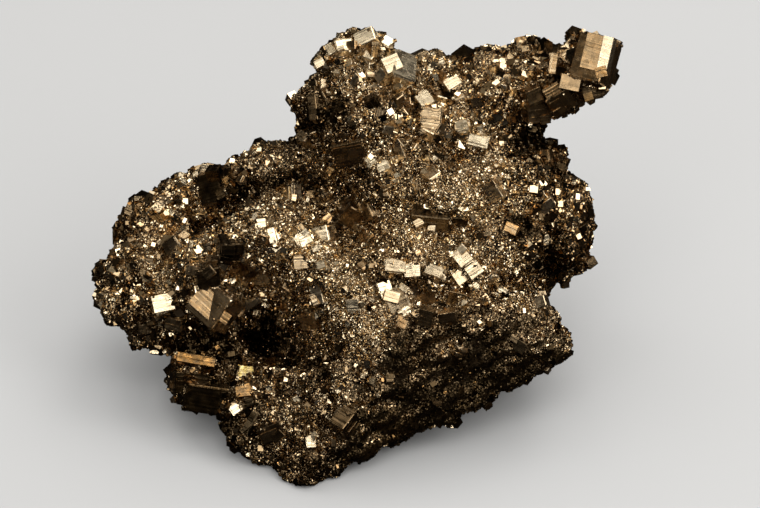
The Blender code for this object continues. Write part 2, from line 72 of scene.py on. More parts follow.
# Crystals of the display face: u and v of the centre, sides, turn about u, v and w in degrees, and the
# finish: tone from black (0) to pale gold (1), partly the crystal's own colour and partly painted light and
# shade, and how amber it is, up to 2 for yellow.
FACE_CRYSTALS = {
    "crown_cube": (19.4, 84.2, (5.6, 5.6, 5.6), (28, -32, -20), 0.95, 0),
    "crown_peak": (13.4, 90, (4.2, 3.4, 3.6), (35, 10, 25), 1, 0),
    "crown_peak_left": (8.8, 88.4, (3.6, 2.8, 3), (30, -15, 10), 0.85, 0),
    "crown_peak_right": (16.6, 89.4, (3.8, 2.6, 3), (40, 15, -30), 0.85, 0),
    "crown_left_cube": (4.4, 79, (2.6, 2.6, 2.6), (-15, 30, 20), 0.25, 0.05),
    "crown_dark_cube": (10, 68.6, (6.2, 5.2, 5.2), (-32, 14, 12), 0.25, 0.2),
    "crown_black_cube": (14.6, 77.4, (2.4, 2.8, 2.6), (-25, 15, 30), 0, 0),
    "crown_column": (3, 76.6, (1.7, 5, 3), (4, 22, 8), 0.15, 0.1),
    "crown_low_left": (14, 65.6, (1.9, 1.9, 1.9), (10, -20, 40), 0.95, 0),
    "crown_low_right": (16.8, 64.6, (2.1, 1.8, 1.9), (15, 5, 25), 0.95, 0),
    "crown_slab": (20.2, 68.6, (1.8, 4.2, 2.6), (5, 30, 25), 0.6, 0.2),
    "striped_cube": (26.6, 74.2, (4, 5, 4.4), (-6, 10, -6), 0.5, 0.1),
    "striped_mate": (24.8, 78, (2.8, 3.2, 3), (10, -15, 35), 0.9, 0),
    "shoulder_block": (35.6, 69.6, (4.2, 2.4, 3), (15, -5, -14), 1, 0),
    "shoulder_bead": (32.8, 72.6, (2.2, 2.2, 2.2), (20, 10, 15), 0.9, 0),
    "shoulder_plate": (30.6, 81.6, (3.2, 2.2, 2.4), (12, -10, 32), 0.8, 0),
    "arm_end_block": (59.4, 86.2, (6.8, 9.2, 7), (4, 24, -14), 0.4, 0.4),
    "arm_end_low": (58.2, 80.8, (4.8, 3.8, 4.4), (-14, -18, 12), 0.15, 0.1),
    "arm_end_keel": (52.6, 78.8, (5, 4.2, 4.4), (-26, 14, 30), 0.35, 0.3),
    "arm_under": (47.6, 76.6, (4.8, 4.4, 4.8), (-22, -14, 10), 0.4, 0.35),
    "arm_blade": (51.2, 85.6, (1.6, 4.2, 2.2), (5, 12, -8), 0.45, 0.2),
    "arm_gem": (53.8, 86.8, (2.4, 2.4, 2.4), (15, -25, 30), 0.5, 0.1),
    "knob_cube": (49.4, 66.6, (2.8, 2.8, 2.8), (20, 20, 10), 0.4, 0.3),
    "far_left_block": (-18, 60.6, (5.2, 6, 5), (10, 25, 20), 0.04, 0.05),
    "left_beacon": (-28, 37, (4.4, 3.6, 3.4), (10, -8, 12), 0.8, 0),
    "left_jewel": (-17.4, 36.8, (8.2, 7.4, 6), (-8, 26, -40), 0.6, 0.35),
    "left_olive": (-18.8, 43, (4.6, 4, 4), (-24, -10, 10), 0.12, 0.05),
    "valley_dark": (-13.8, 48.6, (5, 4, 4.4), (-32, -16, 4), 0.02, 0),
    "valley_brown": (-11.6, 43.9, (3.4, 3.4, 3.4), (-22, 30, 25), 0.4, 0.15),
    "cave_gem": (-9.4, 32.8, (4.2, 4.2, 4.2), (24, 30, 10), 0.05, 0.05),
    "left_blade": (-10.4, 37.4, (4.4, 1.6, 2.6), (-15, 10, 28), 0.75, 0.05),
    "left_chin_cube": (-32, 32.4, (3, 2.4, 2.8), (-15, -20, 10), 0.3, 0),
    "left_chin_mate": (-25.6, 33.2, (3.4, 2.6, 2.8), (-20, 12, -12), 0.3, 0),
    "plateau_tile": (-7.8, 53.2, (1.9, 1.8, 1.8), (15, 0, 5), 1, 0),
    "plateau_splinter": (-5.4, 50.8, (1.4, 3, 1.8), (5, 15, 14), 1, 0.05),
    "plateau_cube": (0.6, 49.8, (3, 3, 3), (18, -12, 28), 1, 0),
    "plateau_tan": (0.4, 45.6, (3, 2.4, 2.6), (-5, 10, 5), 0.6, 0.2),
    "hollow_gem": (11, 55.6, (4.8, 4.8, 4.8), (-20, 35, 45), 0.25, 0.1),
    "hollow_gem_mate": (14.6, 56.2, (3.4, 3.4, 3.4), (10, -30, 20), 0.4, 0.1),
    "plateau_stripe": (3.8, 39.6, (2.2, 4.6, 3), (-5, 25, 12), 0.75, 0.15),
    "centre_brick": (18.8, 44.6, (4.2, 2.4, 2.6), (12, -10, -6), 0.8, 0.05),
    "centre_white": (22.8, 43.6, (3, 2.4, 2.6), (10, 8, 4), 0.9, 0),
    "big_pale": (19.2, 37.4, (4.6, 5.8, 5), (0, -12, 22), 0.65, 0.1),
    "big_pale_left": (16.6, 39.8, (3, 3.2, 3), (8, -25, 18), 0.7, 0),
    "big_pale_right": (22.2, 38, (3.6, 5, 4), (-4, 30, 20), 0.5, 0),
    "centre_slab": (27, 43.4, (4.6, 2.2, 3), (15, -5, -22), 0.8, 0),
    "tile_top": (32.2, 46.2, (3.2, 3.4, 3.2), (8, -14, 36), 0.75, 0),
    "tile_right": (34.6, 43.8, (3.2, 3, 3.2), (6, -10, 36), 0.75, 0),
    "tile_low": (31.8, 42.6, (3, 2.8, 3), (-4, -16, 36), 0.65, 0.05),
    "tile_small": (34.8, 40.8, (1.8, 1.7, 1.8), (4, -6, 36), 0.9, 0),
    "dark_slab": (26.4, 54.8, (7.6, 3.4, 5), (-38, 6, -6), 0.1, 0),
    "dark_slab_step": (31.4, 54.4, (4.4, 1.8, 3), (-30, 0, -2), 0, 0),
    "right_pale": (40.4, 39.4, (3.2, 1.8, 2), (5, 5, -28), 0.9, 0),
    "right_rim_cube": (48.6, 37.6, (2.2, 2.2, 2.2), (10, 25, 20), 0.6, 0),
    "amber_chip": (42.6, 52.4, (2.8, 1.8, 2), (-10, 15, -25), 0.4, 0.8),
    "amber_plate": (-21.6, 25, (7.8, 2, 6), (20, -6, -10), 0.15, 0.75),
    "low_block_upper": (-22.6, 21.4, (6.6, 4, 6), (-4, -12, -4), 0.05, 0.1),
    "low_block": (-19.2, 18.4, (8.6, 5.6, 7), (-10, -8, -8), 0.03, 0.1),
    "yellow_cube": (-11.4, 23, (2.8, 2.6, 2.6), (10, -10, -4), 1, 2),
    "brown_cube": (-11.2, 19.6, (3, 2.2, 2.4), (5, 15, 8), 0.25, 0.6),
    "lower_spark": (-12.8, 16, (1.9, 1.9, 1.9), (10, 5, 35), 1, 0.1),
    "lower_fin": (-9.6, 13.4, (1.6, 4.6, 2.6), (-5, 20, -32), 0.15, 0),
    "lower_tablet": (-5.8, 12, (4.8, 3.4, 3.6), (-22, 10, 22), 0.2, 0.05),
    "lower_pale": (2.4, 9.6, (1.8, 2.2, 1.8), (0, 10, 5), 0.8, 0),
}

# Thin later growths that stand on the solid's crystals, given in the same way.
OVERGROWTHS = {
    "arm_end_strip": (61.5, 87.2, (2.2, 7, 4.6), (0, 12, -13), 0.8, 0),
    "arm_end_plate": (59.3, 87.7, (4.6, 7.2, 2.4), (-6, 18, -15), 0.34, 0.25),
    "arm_end_chip": (60.6, 83.8, (2.4, 2.2, 4.8), (-2, 10, 14), 0.5, 0.9),
    "arm_keel_plate": (55.3, 81.8, (4.2, 3, 9.4), (-4, 12, -12), 0.38, 0.1),
    "arm_low_plate": (51.2, 80, (3.6, 3.2, 4), (-4, 10, 30), 0.4, 0.5),
    "arm_brown_cube": (46.6, 79.4, (3.4, 3.4, 4.2), (-22, -14, 24), 0.3, 0.3),
    "jewel_face": (-18.8, 37.2, (6.2, 5, 2.2), (6, 2, -42), 0.5, 0.4),
    "jewel_flake": (-15.4, 34.8, (3.6, 2.4, 2.4), (-12, 14, -36), 0.35, 0.5),
    "crown_plate": (18.4, 85.2, (3.6, 3.4, 1.6), (12, -10, 24), 0.85, 0),
    "pale_plate": (18.4, 38.6, (3.2, 2.4, 1.6), (10, 4, -14), 0.6, 0.05),
    "pale_flake": (21, 35.4, (2.8, 2.2, 1.4), (4, -20, 40), 0.85, 0.05),
    "olive_plate": (-18.4, 43.6, (2.6, 2.2, 1.4), (-10, 16, 38), 0.3, 0.05),
    "slab_cover_left": (23.8, 53.2, (2, 1.6, 2.2), (18, -6, 30), 0.6, 0.05),
    "slab_cover_right": (26.6, 52.4, (1.6, 1.3, 2), (4, 16, -8), 0.7, 0.05),
    "massive_upper": (25.6, 38.4, (3.8, 3, 2.4), (-16, 10, 20), 0.3, 0.15),
    "massive_right": (31.2, 38.6, (3.4, 3, 2.4), (-24, -6, -12), 0.3, 0.15),
    "massive_left": (25.4, 34.8, (3, 3.4, 2.4), (-22, 16, -14), 0.3, 0.1),
    "massive_low": (29.4, 34.8, (3.4, 2.8, 2.4), (-28, 8, 8), 0.35, 0.1),
}
OVERGROWTH_SINK = 0.15

# Crystals strewn over the rest of the stone on a golden spiral of rays, as the solid has them.
STREWN_SEED = 7
STREWN_RAYS = 150
STREWN_SIDES_MM = (1.8, 4.6)
STREWN_STRETCH = (0.75, 1.15)
STREWN_TURN_DEG = 45
STREWN_AIM = (10.0, 46.0, 28.0)
STREWN_START_MM = 120.0
STREWN_TONES = (0.15, 1.0)
# Their tone is lower the lower they stand, painted shade towards the base: the least share of their tone, and
# over which v it grows.
STREWN_SHADED_SHARE, STREWN_SHADE_V_MM = 0.35, (15.0, 45.0)
STREWN_AMBER = 0.6
GOLDEN_ANGLE = math.pi * (3.0 - math.sqrt(5.0))
# A crystal is found where more than so many of its corners and face centres lie on the solid.
MATCH_MM = 0.01
HITS_TRIED = 6
MARKS_BY_CHANCE = 2

# Where larger crystals crowd on the display face: centre u, v, radii, and crystals to a square millimetre.
CROWDS = (
    (12, 88, 9, 4.5, 0.42), (21, 80, 6, 8, 0.32), (10, 78, 8, 7, 0.22), (12, 69, 9, 6, 0.24),
    (30, 78, 7, 7, 0.14), (26, 70, 5, 5, 0.12), (56, 84, 7, 6, 0.18), (44, 83, 7, 6, 0.05),
    (22, 42, 10, 4.5, 0.13), (33, 44, 5, 4, 0.12), (-14, 42, 6, 8, 0.14), (-17, 18, 9, 8, 0.16),
    (-4, 51, 8, 5, 0.14), (-30, 40, 12, 10, 0.13), (12, 56, 7, 4, 0.12), (36, 69, 7, 4, 0.1),
    (51, 57, 4, 8, 0.08), (-2, 19, 5, 6, 0.05), (-7, 47.5, 5, 4, 0.25), (-12, 43.5, 6, 3, 0.15),
    (42, 77, 3, 2.5, 0.15),
)
# Crystals to a square millimetre that stand anywhere, and how many more on the back.
CROWD_ANYWHERE, CROWD_BACK = 0.035, 0.05

# Spots of painted shade on the display face's crust, and below zero of painted light: centre u, v, radii, and
# how much.
PAINTED_SHADE_AND_LIGHT_SPOTS = (
    (49, 85, 3.5, 3.5, 0.6), (47, 80, 5, 8, 0.75), (12, 77, 5, 3, 0.3), (5, 77, 3.5, 3, 0.6),
    (1, 73, 4, 7, 0.5), (48, 73, 3, 3, 0.7), (8.5, 71.5, 3, 4, 0.5), (3, 70, 4, 9, 0.15),
    (46, 67, 4, 5, 0.7), (-12, 61.5, 4, 3, 0.6), (-6, 61, 8, 2.5, 0.7), (44, 53, 4.5, 3, 0.95),
    (8, 53, 3.5, 2.5, 0.8), (-20, 53, 6, 2.5, 0.45), (42.5, 52.5, 4, 2.5, 0.5),
    (50, 47, 4.5, 4.5, 0.95), (54, 46, 3, 4, 0.3), (52, 44.5, 4, 4, 0.7), (18, 41, 4, 4, 0.3),
    (34, 34, 9, 3.5, 0.4), (-4, 31, 4, 4, 0.9), (-27, 31, 5, 3, 0.5), (-17.5, 29.5, 5, 4, 0.9),
    (24, 29, 7, 5, 0.6), (44, 29, 4, 3, 0.5), (-19, 28, 6, 3.5, 0.7), (38, 28, 5, 5, 0.5),
    (2, 25, 6, 2.5, 0.7), (5, 24.5, 5, 2, 0.4), (24.5, 21.5, 4, 3, 0.4), (-19, 21, 5, 7, 0.8),
    (34, 19, 6, 4, 0.5), (-14, 19, 4, 4, 0.5), (25, 17, 5, 4, 0.8), (31.5, 16.5, 4, 3, 0.6),
    (13, 15, 4, 4, 0.6), (15, 12, 6, 6, 0.4), (-13, 11, 4, 6, 0.6), (-12, 9, 3, 3, 0.5),
    (17, 8.5, 3, 3, 0.4), (5, 8, 4, 4, 0.2), (8, 6, 5, 4, 0.25), (0, 4, 8, 3, 0.2),
    (8, 84, 4, 4, -0.7), (43, 84, 8, 5, -0.5), (10, 81, 4, 3, -0.7), (44, 77.5, 4, 2.5, -0.5),
    (41, 77, 4, 3, -0.8), (32, 69, 8, 7, -0.35), (6, 66, 4, 5, -0.4), (42, 61, 7, 4, -0.6),
    (14, 60, 5, 3, -0.3), (-22, 60, 5, 4, -0.9), (36, 59, 10, 6, -0.8), (-24, 57, 7, 6, -0.6),
    (30, 55, 8, 4.5, -0.8), (26, 51, 5, 3, -0.8), (16, 51, 4, 4, -0.5), (-2, 50, 8, 7, -0.8),
    (-12, 48, 6, 5, -0.8), (-23, 45.5, 4, 3.5, -0.6), (-11, 45, 6, 5, -0.9), (8, 45, 4, 4, -0.6),
    (40, 44, 7, 6, -0.6), (-28, 44, 6, 6, -0.3), (-17, 44, 5, 8, -0.7), (-2, 43, 6, 4, -0.9),
    (-17, 42.5, 5, 3, -0.6), (26.5, 41, 4, 2.5, -0.4), (4, 39.5, 5, 4, -0.6), (46, 39, 5, 4, -0.7),
    (10, 39, 4, 4, -0.6), (2, 37, 5, 6, -0.9), (8, 34, 6, 6, -0.8), (9.5, 31.5, 4, 3, -0.5),
    (14, 29, 3, 4, -0.6), (12.5, 29, 4, 4, -0.6),
)
# Spots of the display face fade over this range of the skin's normal along w.
SPOT_FACING = (0.3, -0.3)

# Hollows of the ore's skin on the display face: centre u, v, radius and depth; and how deep in w they reach.
SKIN_HOLLOWS = (
    (44, 53, 3, 1.8), (49, 47.5, 3, 1.2), (8, 53, 2.6, 1.6), (-17.5, 30, 3, 1.5),
    (-4, 31, 3.2, 1.6), (-4, 61.5, 3, 1.2), (35.5, 56.5, 1.8, 1.4), (1.5, 71, 2.4, 1.2),
    (45.5, 75, 3, 1.5), (42, 56.5, 2.2, 1.8), (47.5, 54, 1.8, 1.4), (47, 65, 3.5, 1.2),
    (51.5, 45.5, 3, 1.2),
)
HOLLOWS_TO_W_MM = 45.0

# The ore's relief: height and spacing of its lumps, knobs and pits, and of the ridges of the broken face.
LUMP_MM, LUMP_SPACING_MM = 1.15, 4.1
KNOB_MM, KNOB_SPACING_MM, KNOB_RADIUS = 1.5, 2.7, 0.42
PIT_MM, PIT_SPACING_MM, PIT_FROM = 1.6, 2.3, 0.12
PIT_SHIFT = Vector((31, 7, 5))
RIDGE_MM, RIDGE_SPACINGS_MM = 1.5, (7.0, 1.9, 6.0)
RELIEF_LOST_WHEN_BROKEN = 0.75
RELIEF_FROM_BASE_MM = 1.5
BARE_MARGIN_MM, BARE_MM = 0.25, -0.12

# The block's broken face: its direction, how far the skin may turn from it, and over which u and v it fades.
BROKEN_FACE_DIRECTION = (0.35, -0.62, -0.70)
BROKEN_COSINES = (0.62, 0.86)
BROKEN_U_MM, BROKEN_V_MM = (2.0, 12.0), (39.0, 35.0)
# Which way its streaks run, along (u, v), their spacing, and where its dark lower rim fades across them.
BROKEN_GRAIN = (0.90, 0.44)
STREAK_SPACING_MM, STREAK_RANGE, STREAK_DEPTH = (9.0, 1.3), (-0.25, 0.35), 4.0
RIM_MM = (2.0, 6.0)

# Drifts of black over the crust: their spacings and limits; and the openness over which a hollow's painted
# shade fades out.
DRIFT_SPACINGS_MM, DRIFT_LIMITS = (5.5, 2.4), (-0.4, 0.55)
OPEN_FROM_TO = (0.3, 0.8)
# How much black, painted shade included, darkens a tone and takes off it, and how much clean, painted light
# included, lifts it.
BLACK_DARKENS, BLACK_TAKES, CLEAN_LIFTS = 0.93, 0.07, 0.65

# Rays that find how open the skin lies, for the painted shade of its hollows.
SKY_RAYS = 36
SKY_START_MM, SKY_REACH_MM = 0.5, 22.0
SKY_LEAST_COSINE, SKY_BLOCKED = 0.1, 0.8

CHAMFERED_FROM_MM = 1.5
SAWN_UNDER_MM = 0.02
FLOOR_GAP_MM = 0.1
# Half sides over which a grain's faces turn from finely broken to whole.
FINE_HALVES_MM = (0.28, 0.5)
PIECE_TRIANGLES = 190000
LARGE_SEED = 23
# How far the dressed larger crystals stand out of the solid's own.
PROUD_MM = 0.04
# Range of the offsets that give each crystal its own growth lines.
OFFSET_SPAN = 50
# Small cubes crept over a large crystal, to a square millimetre of an eighth of its skin.
CRUMBS_PER_AREA = 0.8
CUBE_SIGNS = np.array([(x, y, z) for z in (-1.0, 1.0) for x, y in ((-1, -1), (1, -1), (1, 1), (-1, 1))])
CUBE_FACES = [[0, 3, 2, 1], [4, 5, 6, 7], [0, 1, 5, 4], [1, 2, 6, 5], [2, 3, 7, 6], [3, 0, 4, 7]]
PLAIN_BOX = (CUBE_SIGNS, np.zeros((8, 3)), CUBE_FACES)
CRYSTAL_MARKS = np.concatenate([CUBE_SIGNS, np.eye(3), -np.eye(3)])

# Each lamp's heading from the front to the right and its rise, in degrees, its share of the power, its size.
LIGHTS = (
    ("key", 62.0, 37.0, 0.36, 0.42),
    ("back", 140.0, 58.0, 0.30, 0.42),
    ("front", 0.0, 62.0, 0.17, 0.32),
    ("back_left", 225.0, 60.0, 0.07, 0.32),
    ("left", 330.0, 34.0, 0.13, 0.30),
)
LIGHT_TARGET = (0.0, 0.0, 0.035)
LIGHT_DISTANCE = 0.65
FLOOR_HALF_SIDE = 4.0
# Colours of the studio: what the metal mirrors below and overhead, the wall low and high, and the soft fill.
MIRRORED_FLOOR = (0.0075, 0.006, 0.005)
MIRRORED_ROOM, MIRRORED_OVERHEAD = (0.004, 0.0035, 0.003), (0.168, 0.145, 0.108)
WALL_LOW, WALL_HIGH = (0.43, 0.427, 0.42), (0.80, 0.795, 0.78)
FILL = (1.6, 1.6, 1.6)


# ---- The display face's frame ----


def face_frame():
    """World matrix of the display face's frame, whose own unit is the millimetre."""
    lean = math.radians(LEAN_DEG)
    axes = Matrix(((1, 0, 0), (0, math.sin(lean), math.cos(lean)), (0, math.cos(lean), -math.sin(lean))))
    return Matrix.Scale(MM, 4) @ Matrix.Translation(-Vector(FACE_ORIGIN_MM)) @ axes.to_4x4()


TO_WORLD = face_frame()


def in_world(points):
    """World places of points of the display face's frame, one to a row."""
    matrix = np.array(TO_WORLD)
    return points @ matrix[:3, :3].T + matrix[:3, 3]


def step(values, start, end):
    """0 before the start and 1 past the end, and smooth between them."""
    share = np.clip((values - start) / (end - start), 0.0, 1.0)
    return share * share * (3.0 - 2.0 * share)


def turn_of(degrees):
    return Euler([math.radians(angle) for angle in degrees]).to_matrix()


def spiral(count):
    """Directions spread evenly over the whole sphere."""
    heights = 1 - 2 * (np.arange(count) + 0.5) / count
    rings = np.sqrt(1 - heights * heights)
    turns = np.arange(count) * GOLDEN_ANGLE
    return np.stack([rings * np.cos(turns), rings * np.sin(turns), heights], 1)


# ---- Meshes ----


def object_of(name, data):
    obj = bpy.data.objects.new(name, data)
    bpy.context.scene.collection.objects.link(obj)
    return obj


def add_value(mesh, name, values):
    """One value for each face of a mesh."""
    layer = mesh.attributes.new(name, "FLOAT", "FACE")
    layer.data.foreach_set("value", np.asarray(values, dtype=np.float32))


def chamfered_box():
    """Corner signs, the share of the chamfer taken off each, and the faces of a box with chamfered edges."""
    bm = bmesh.new()
    bmesh.ops.create_cube(bm, size=2.0)
    bmesh.ops.bevel(bm, geom=bm.edges, offset=0.2, segments=1, affect="EDGES")
    bmesh.ops.recalc_face_normals(bm, faces=bm.faces)
    places = np.array([vertex.co for vertex in bm.verts])
    faces = [[vertex.index for vertex in face.verts] for face in bm.faces]
    bm.free()
    return np.sign(places), (np.abs(places) < 0.99).astype(float), faces


def boxes_mesh(name, shape, centres, turns, halves, chamfers, bends):
    """Closed boxes as one mesh, each face unwrapped in millimetres along its box's own axes.

    Bends are four shares for each box: how much its top is narrowed and shifted along each side.
    """
    signs, shares, faces = shape
    local = signs[None] * (halves[:, None, :] - shares[None] * chamfers[:, None, None])
    height = 0.5 + 0.5 * local[:, :, 2:] / halves[:, None, 2:]
    narrowed, shifted = bends[:, None, :2], bends[:, None, 2:] * halves[:, None, :2]
    local[:, :, :2] = local[:, :, :2] * (1 - narrowed * height) + shifted * (height - 0.5)
    points = in_world((np.einsum("nij,nkj->nki", turns, local) + centres[:, None, :]).reshape(-1, 3))
    firsts = range(0, len(points), len(signs))
    mesh = bpy.data.meshes.new(name)
    mesh.from_pydata(points, [], [[first + corner for corner in face] for first in firsts for face in faces])
    mesh.shade_flat()
    facing = [np.argmax(np.abs(signs[face].sum(0) * (1 - shares[face].mean(0)))) for face in faces]
    axes = np.repeat(facing, [len(face) for face in faces])
    corners = np.concatenate(faces)
    at_corners = local[:, corners, :]
    flat = [at_corners[:, np.arange(len(corners)), (axes + shift) % 3] for shift in (1, 2)]
    layer = mesh.uv_layers.new(name="growth")
    layer.data.foreach_set("uv", np.stack(flat, -1).astype(np.float32).ravel())
    return mesh


def random_bends(rng, count):
    """How much each crystal's top is narrowed and shifted, as shares of its sides."""
    return np.concatenate([rng.random((count, 2)) ** 2 * 0.5, rng.normal(0, 0.22, (count, 2))], 1)


def small_turn(rng, spread_deg):
    """A rotation matrix of a few degrees about each axis."""
    return np.array(turn_of(rng.normal(0, spread_deg, 3)))


def turned_to(rng, normals, spread_deg, loose_share):
    """Rotation matrices whose third axis leans about a normal; a share of them is turned any way."""
    count = len(normals)
    helper = np.where(np.abs(normals[:, :1]) < 0.8, [[1.0, 0, 0]], [[0, 1.0, 0]])
    lean = rng.normal(0, math.radians(spread_deg), (count, 3))
    third = normals + np.cross(lean, normals)
    third /= np.linalg.norm(third, axis=1)[:, None]
    first = np.cross(helper, third)
    first /= np.linalg.norm(first, axis=1)[:, None]
    second = np.cross(third, first)
    spin = rng.uniform(0, math.pi / 2, (count, 1))
    one = first * np.cos(spin) + second * np.sin(spin)
    two = second * np.cos(spin) - first * np.sin(spin)
    turns = np.stack([one, two, third], -1)
    loose = rng.random(count) < loose_share
    quats = map(Quaternion, rng.normal(size=(int(loose.sum()), 4)))
    turns[loose] = np.reshape([quat.normalized().to_matrix() for quat in quats], (-1, 3, 3))
    return turns


def grow(rng, points, normals, sizes, stretch, lean_deg, loose_share, rise, flatness=1.0):
    """Centres, turns and half sides of boxes sunk in the skin at points.

    Stretch is the range of a side as a share of its size, and rise that of how far the top stands out.
    """
    count = len(points)
    halves = sizes[:, None] * rng.uniform(*stretch, (count, 3)) / 2
    turns = turned_to(rng, normals, lean_deg, loose_share)
    rises = sizes * rng.uniform(*rise, count) * flatness
    support = np.einsum("ni,ni->n", halves, np.abs(np.einsum("nji,nj->ni", turns, normals)))
    return points + normals * (rises - support)[:, None], turns, halves


def above_floor(centres, turns, halves):
    """Which boxes clear the plane of the base."""
    up = np.array(TO_WORLD.to_3x3().normalized())[2]
    drop = np.einsum("ni,ni->n", halves, np.abs(np.einsum("nji,j->ni", turns, up)))
    return in_world(centres)[:, 2] - drop * MM > FLOOR_GAP_MM * MM


# ---- Where the solid's crystals are ----


def reach(turn, sides, direction):
    """Distance from a crystal's centre to its surface against a direction."""
    along = [abs(turn.col[i].dot(direction)) for i in range(3)]
    return min(side / 2 / share for side, share in zip(sides, along) if share > TINY)


def match(tree, centre, turn, sides):
    """How many of a crystal's corners and face centres lie on the solid's skin."""
    points = (centre + turn @ Vector(signs * sides / 2) for signs in CRYSTAL_MARKS)
    return sum(tree.find_nearest(point, MATCH_MM)[0] is not None for point in points)


def crystal_on_solid(tree, start, direction, sides, degrees):
    """(centre, turn, sides) of the crystal that a ray meets, or None where the solid has none there."""
    turn = turn_of(degrees)
    best = (MARKS_BY_CHANCE, None)
    point = start
    for _ in range(HITS_TRIED):
        hit = tree.ray_cast(point, direction)[0]
        if hit is None:
            break
        centre = hit + direction * reach(turn, sides, direction)
        best = max(best, (match(tree, centre, turn, sides), centre), key=lambda found: found[0])
        point = hit + direction * MATCH_MM
    return None if best[1] is None else (best[1], turn, sides)


def arrays(centre, turn, sides):
    return np.array(centre), np.array(turn), np.array(sides) / 2


def solid_crystals(tree):
    """Centre, turn, half sides and finish of every larger crystal of the solid."""
    into = Vector((0, 0, 1))
    for u, v, sides, degrees, *finish in FACE_CRYSTALS.values():
        found = crystal_on_solid(tree, Vector((u, v, -STREWN_START_MM)), into, sides, degrees)
        if found is not None:
            yield (*arrays(*found), finish)
    rng = random.Random(STREWN_SEED)
    tone = random.Random(STREWN_SEED + 1)
    low, high = STREWN_SIDES_MM
    for out in map(Vector, spiral(STREWN_RAYS)):
        size = low + (high - low) * rng.random() ** 2
        sides = tuple(size * rng.uniform(*STREWN_STRETCH) for _ in range(3))
        degrees = tuple(rng.uniform(-STREWN_TURN_DEG, STREWN_TURN_DEG) for _ in range(3))
        # The solid's own rule draws the crystal's rise here.
        rng.random()
        found = crystal_on_solid(tree, Vector(STREWN_AIM) + out * STREWN_START_MM, -out, sides, degrees)
        if found is not None:
            # Painted shade: the lower the crystal stands, the darker its tone.
            clean = STREWN_SHADED_SHARE + (1 - STREWN_SHADED_SHARE) * float(step(found[0].y, *STREWN_SHADE_V_MM))
            finish = (clean * tone.uniform(*STREWN_TONES), STREWN_AMBER * tone.random() ** 3)
            yield (*arrays(*found), finish)


def overgrowths(tree):
    """Centre, turn, half sides and finish of each thin later growth, sunk in where a ray meets the solid."""
    for u, v, sides, degrees, *finish in OVERGROWTHS.values():
        hit = tree.ray_cast(Vector((u, v, -STREWN_START_MM)), Vector((0, 0, 1)))[0]
        if hit is not None:
            centre = hit + Vector((0, 0, OVERGROWTH_SINK * sides[2]))
            yield (*arrays(centre, turn_of(degrees), sides), finish)


# ---- The ore and its crust ----


def along_and_over(u, v):
    """Places along the broken face's streaks and across them."""
    return u * BROKEN_GRAIN[0] + v * BROKEN_GRAIN[1], v * BROKEN_GRAIN[0] - u * BROKEN_GRAIN[1]


def skin_relief(point, calm):
    """How far the ore's skin stands out at a point, in millimetres."""
    lump = LUMP_MM * noise.noise(point / LUMP_SPACING_MM)
    knob = KNOB_MM * (KNOB_RADIUS - noise.voronoi(point / KNOB_SPACING_MM)[0][0])
    pit = -PIT_MM * max(noise.noise(point / PIT_SPACING_MM + PIT_SHIFT) - PIT_FROM, 0.0)
    hollow = 0.0
    if point.z < HOLLOWS_TO_W_MM:
        for u, v, radius, depth in SKIN_HOLLOWS:
            hollow -= depth * math.exp(-((point.x - u) ** 2 + (point.y - v) ** 2) / radius**2)
    places = (*along_and_over(point.x, point.y), point.z)
    ridge = RIDGE_MM * noise.noise(Vector([place / gap for place, gap in zip(places, RIDGE_SPACINGS_MM)]))
    return (lump + knob) * (1.0 - RELIEF_LOST_WHEN_BROKEN * calm) + ridge * calm + pit + hollow


def broken_share(normals, places):
    """How much of each point of the skin is the block's broken face: 1 on the face and 0 off it."""
    outward = np.array(BROKEN_FACE_DIRECTION) / np.linalg.norm(BROKEN_FACE_DIRECTION)
    facing = step(normals @ outward, *BROKEN_COSINES)
    return facing * step(places[:, 1], *BROKEN_V_MM) * step(places[:, 0], *BROKEN_U_MM)


def add_spots(total, places, normals, spots):
    """Add soft spots of the display face, each given by its centre u, v, its radii and its height."""
    facing = step(normals[:, 2], *SPOT_FACING)
    for u, v, across, up, most in spots:
        off = ((places[:, 0] - u) / across) ** 2 + ((places[:, 1] - v) / up) ** 2
        total += most * np.exp(-off) * facing


def blackening(places, normals, openness):
    """How dark the crust is, from -1 to 1: painted shade in hollows, painted shade and light in spots, in
    drifts and on the broken face.
    """
    wide, narrow = DRIFT_SPACINGS_MM
    points = map(Vector, places)
    drifts = [noise.noise(point / wide) + 0.5 * noise.noise(point / narrow) for point in points]
    # Painted shade: the less open the skin lies in a hollow, the darker its crust.
    total = 0.6 * (1 - step(openness, *OPEN_FROM_TO)) + 0.95 * np.clip(drifts, *DRIFT_LIMITS)
    # Painted shade and painted light in spots of the display face.
    add_spots(total, places, normals, PAINTED_SHADE_AND_LIGHT_SPOTS)
    along, over = along_and_over(places[:, 0], places[:, 1])
    spaced = zip(along / STREAK_SPACING_MM[0], over / STREAK_SPACING_MM[1])
    streaks = step(np.array([noise.noise(Vector((*place, STREAK_DEPTH))) for place in spaced]), *STREAK_RANGE)
    rim = 1 - step(over, *RIM_MM)
    total += broken_share(normals, places) * (0.3 + 0.65 * streaks + 0.7 * rim)
    return np.clip(total, -1.0, 1.0)


def in_crystals(points, crystals, margin):
    """Which points lie in a larger crystal, grown by a margin in millimetres."""
    found = np.zeros(len(points), bool)
    for centre, turn, half, _ in crystals:
        found |= np.all(np.abs((points - centre) @ turn) < half + margin, axis=1)
    return found


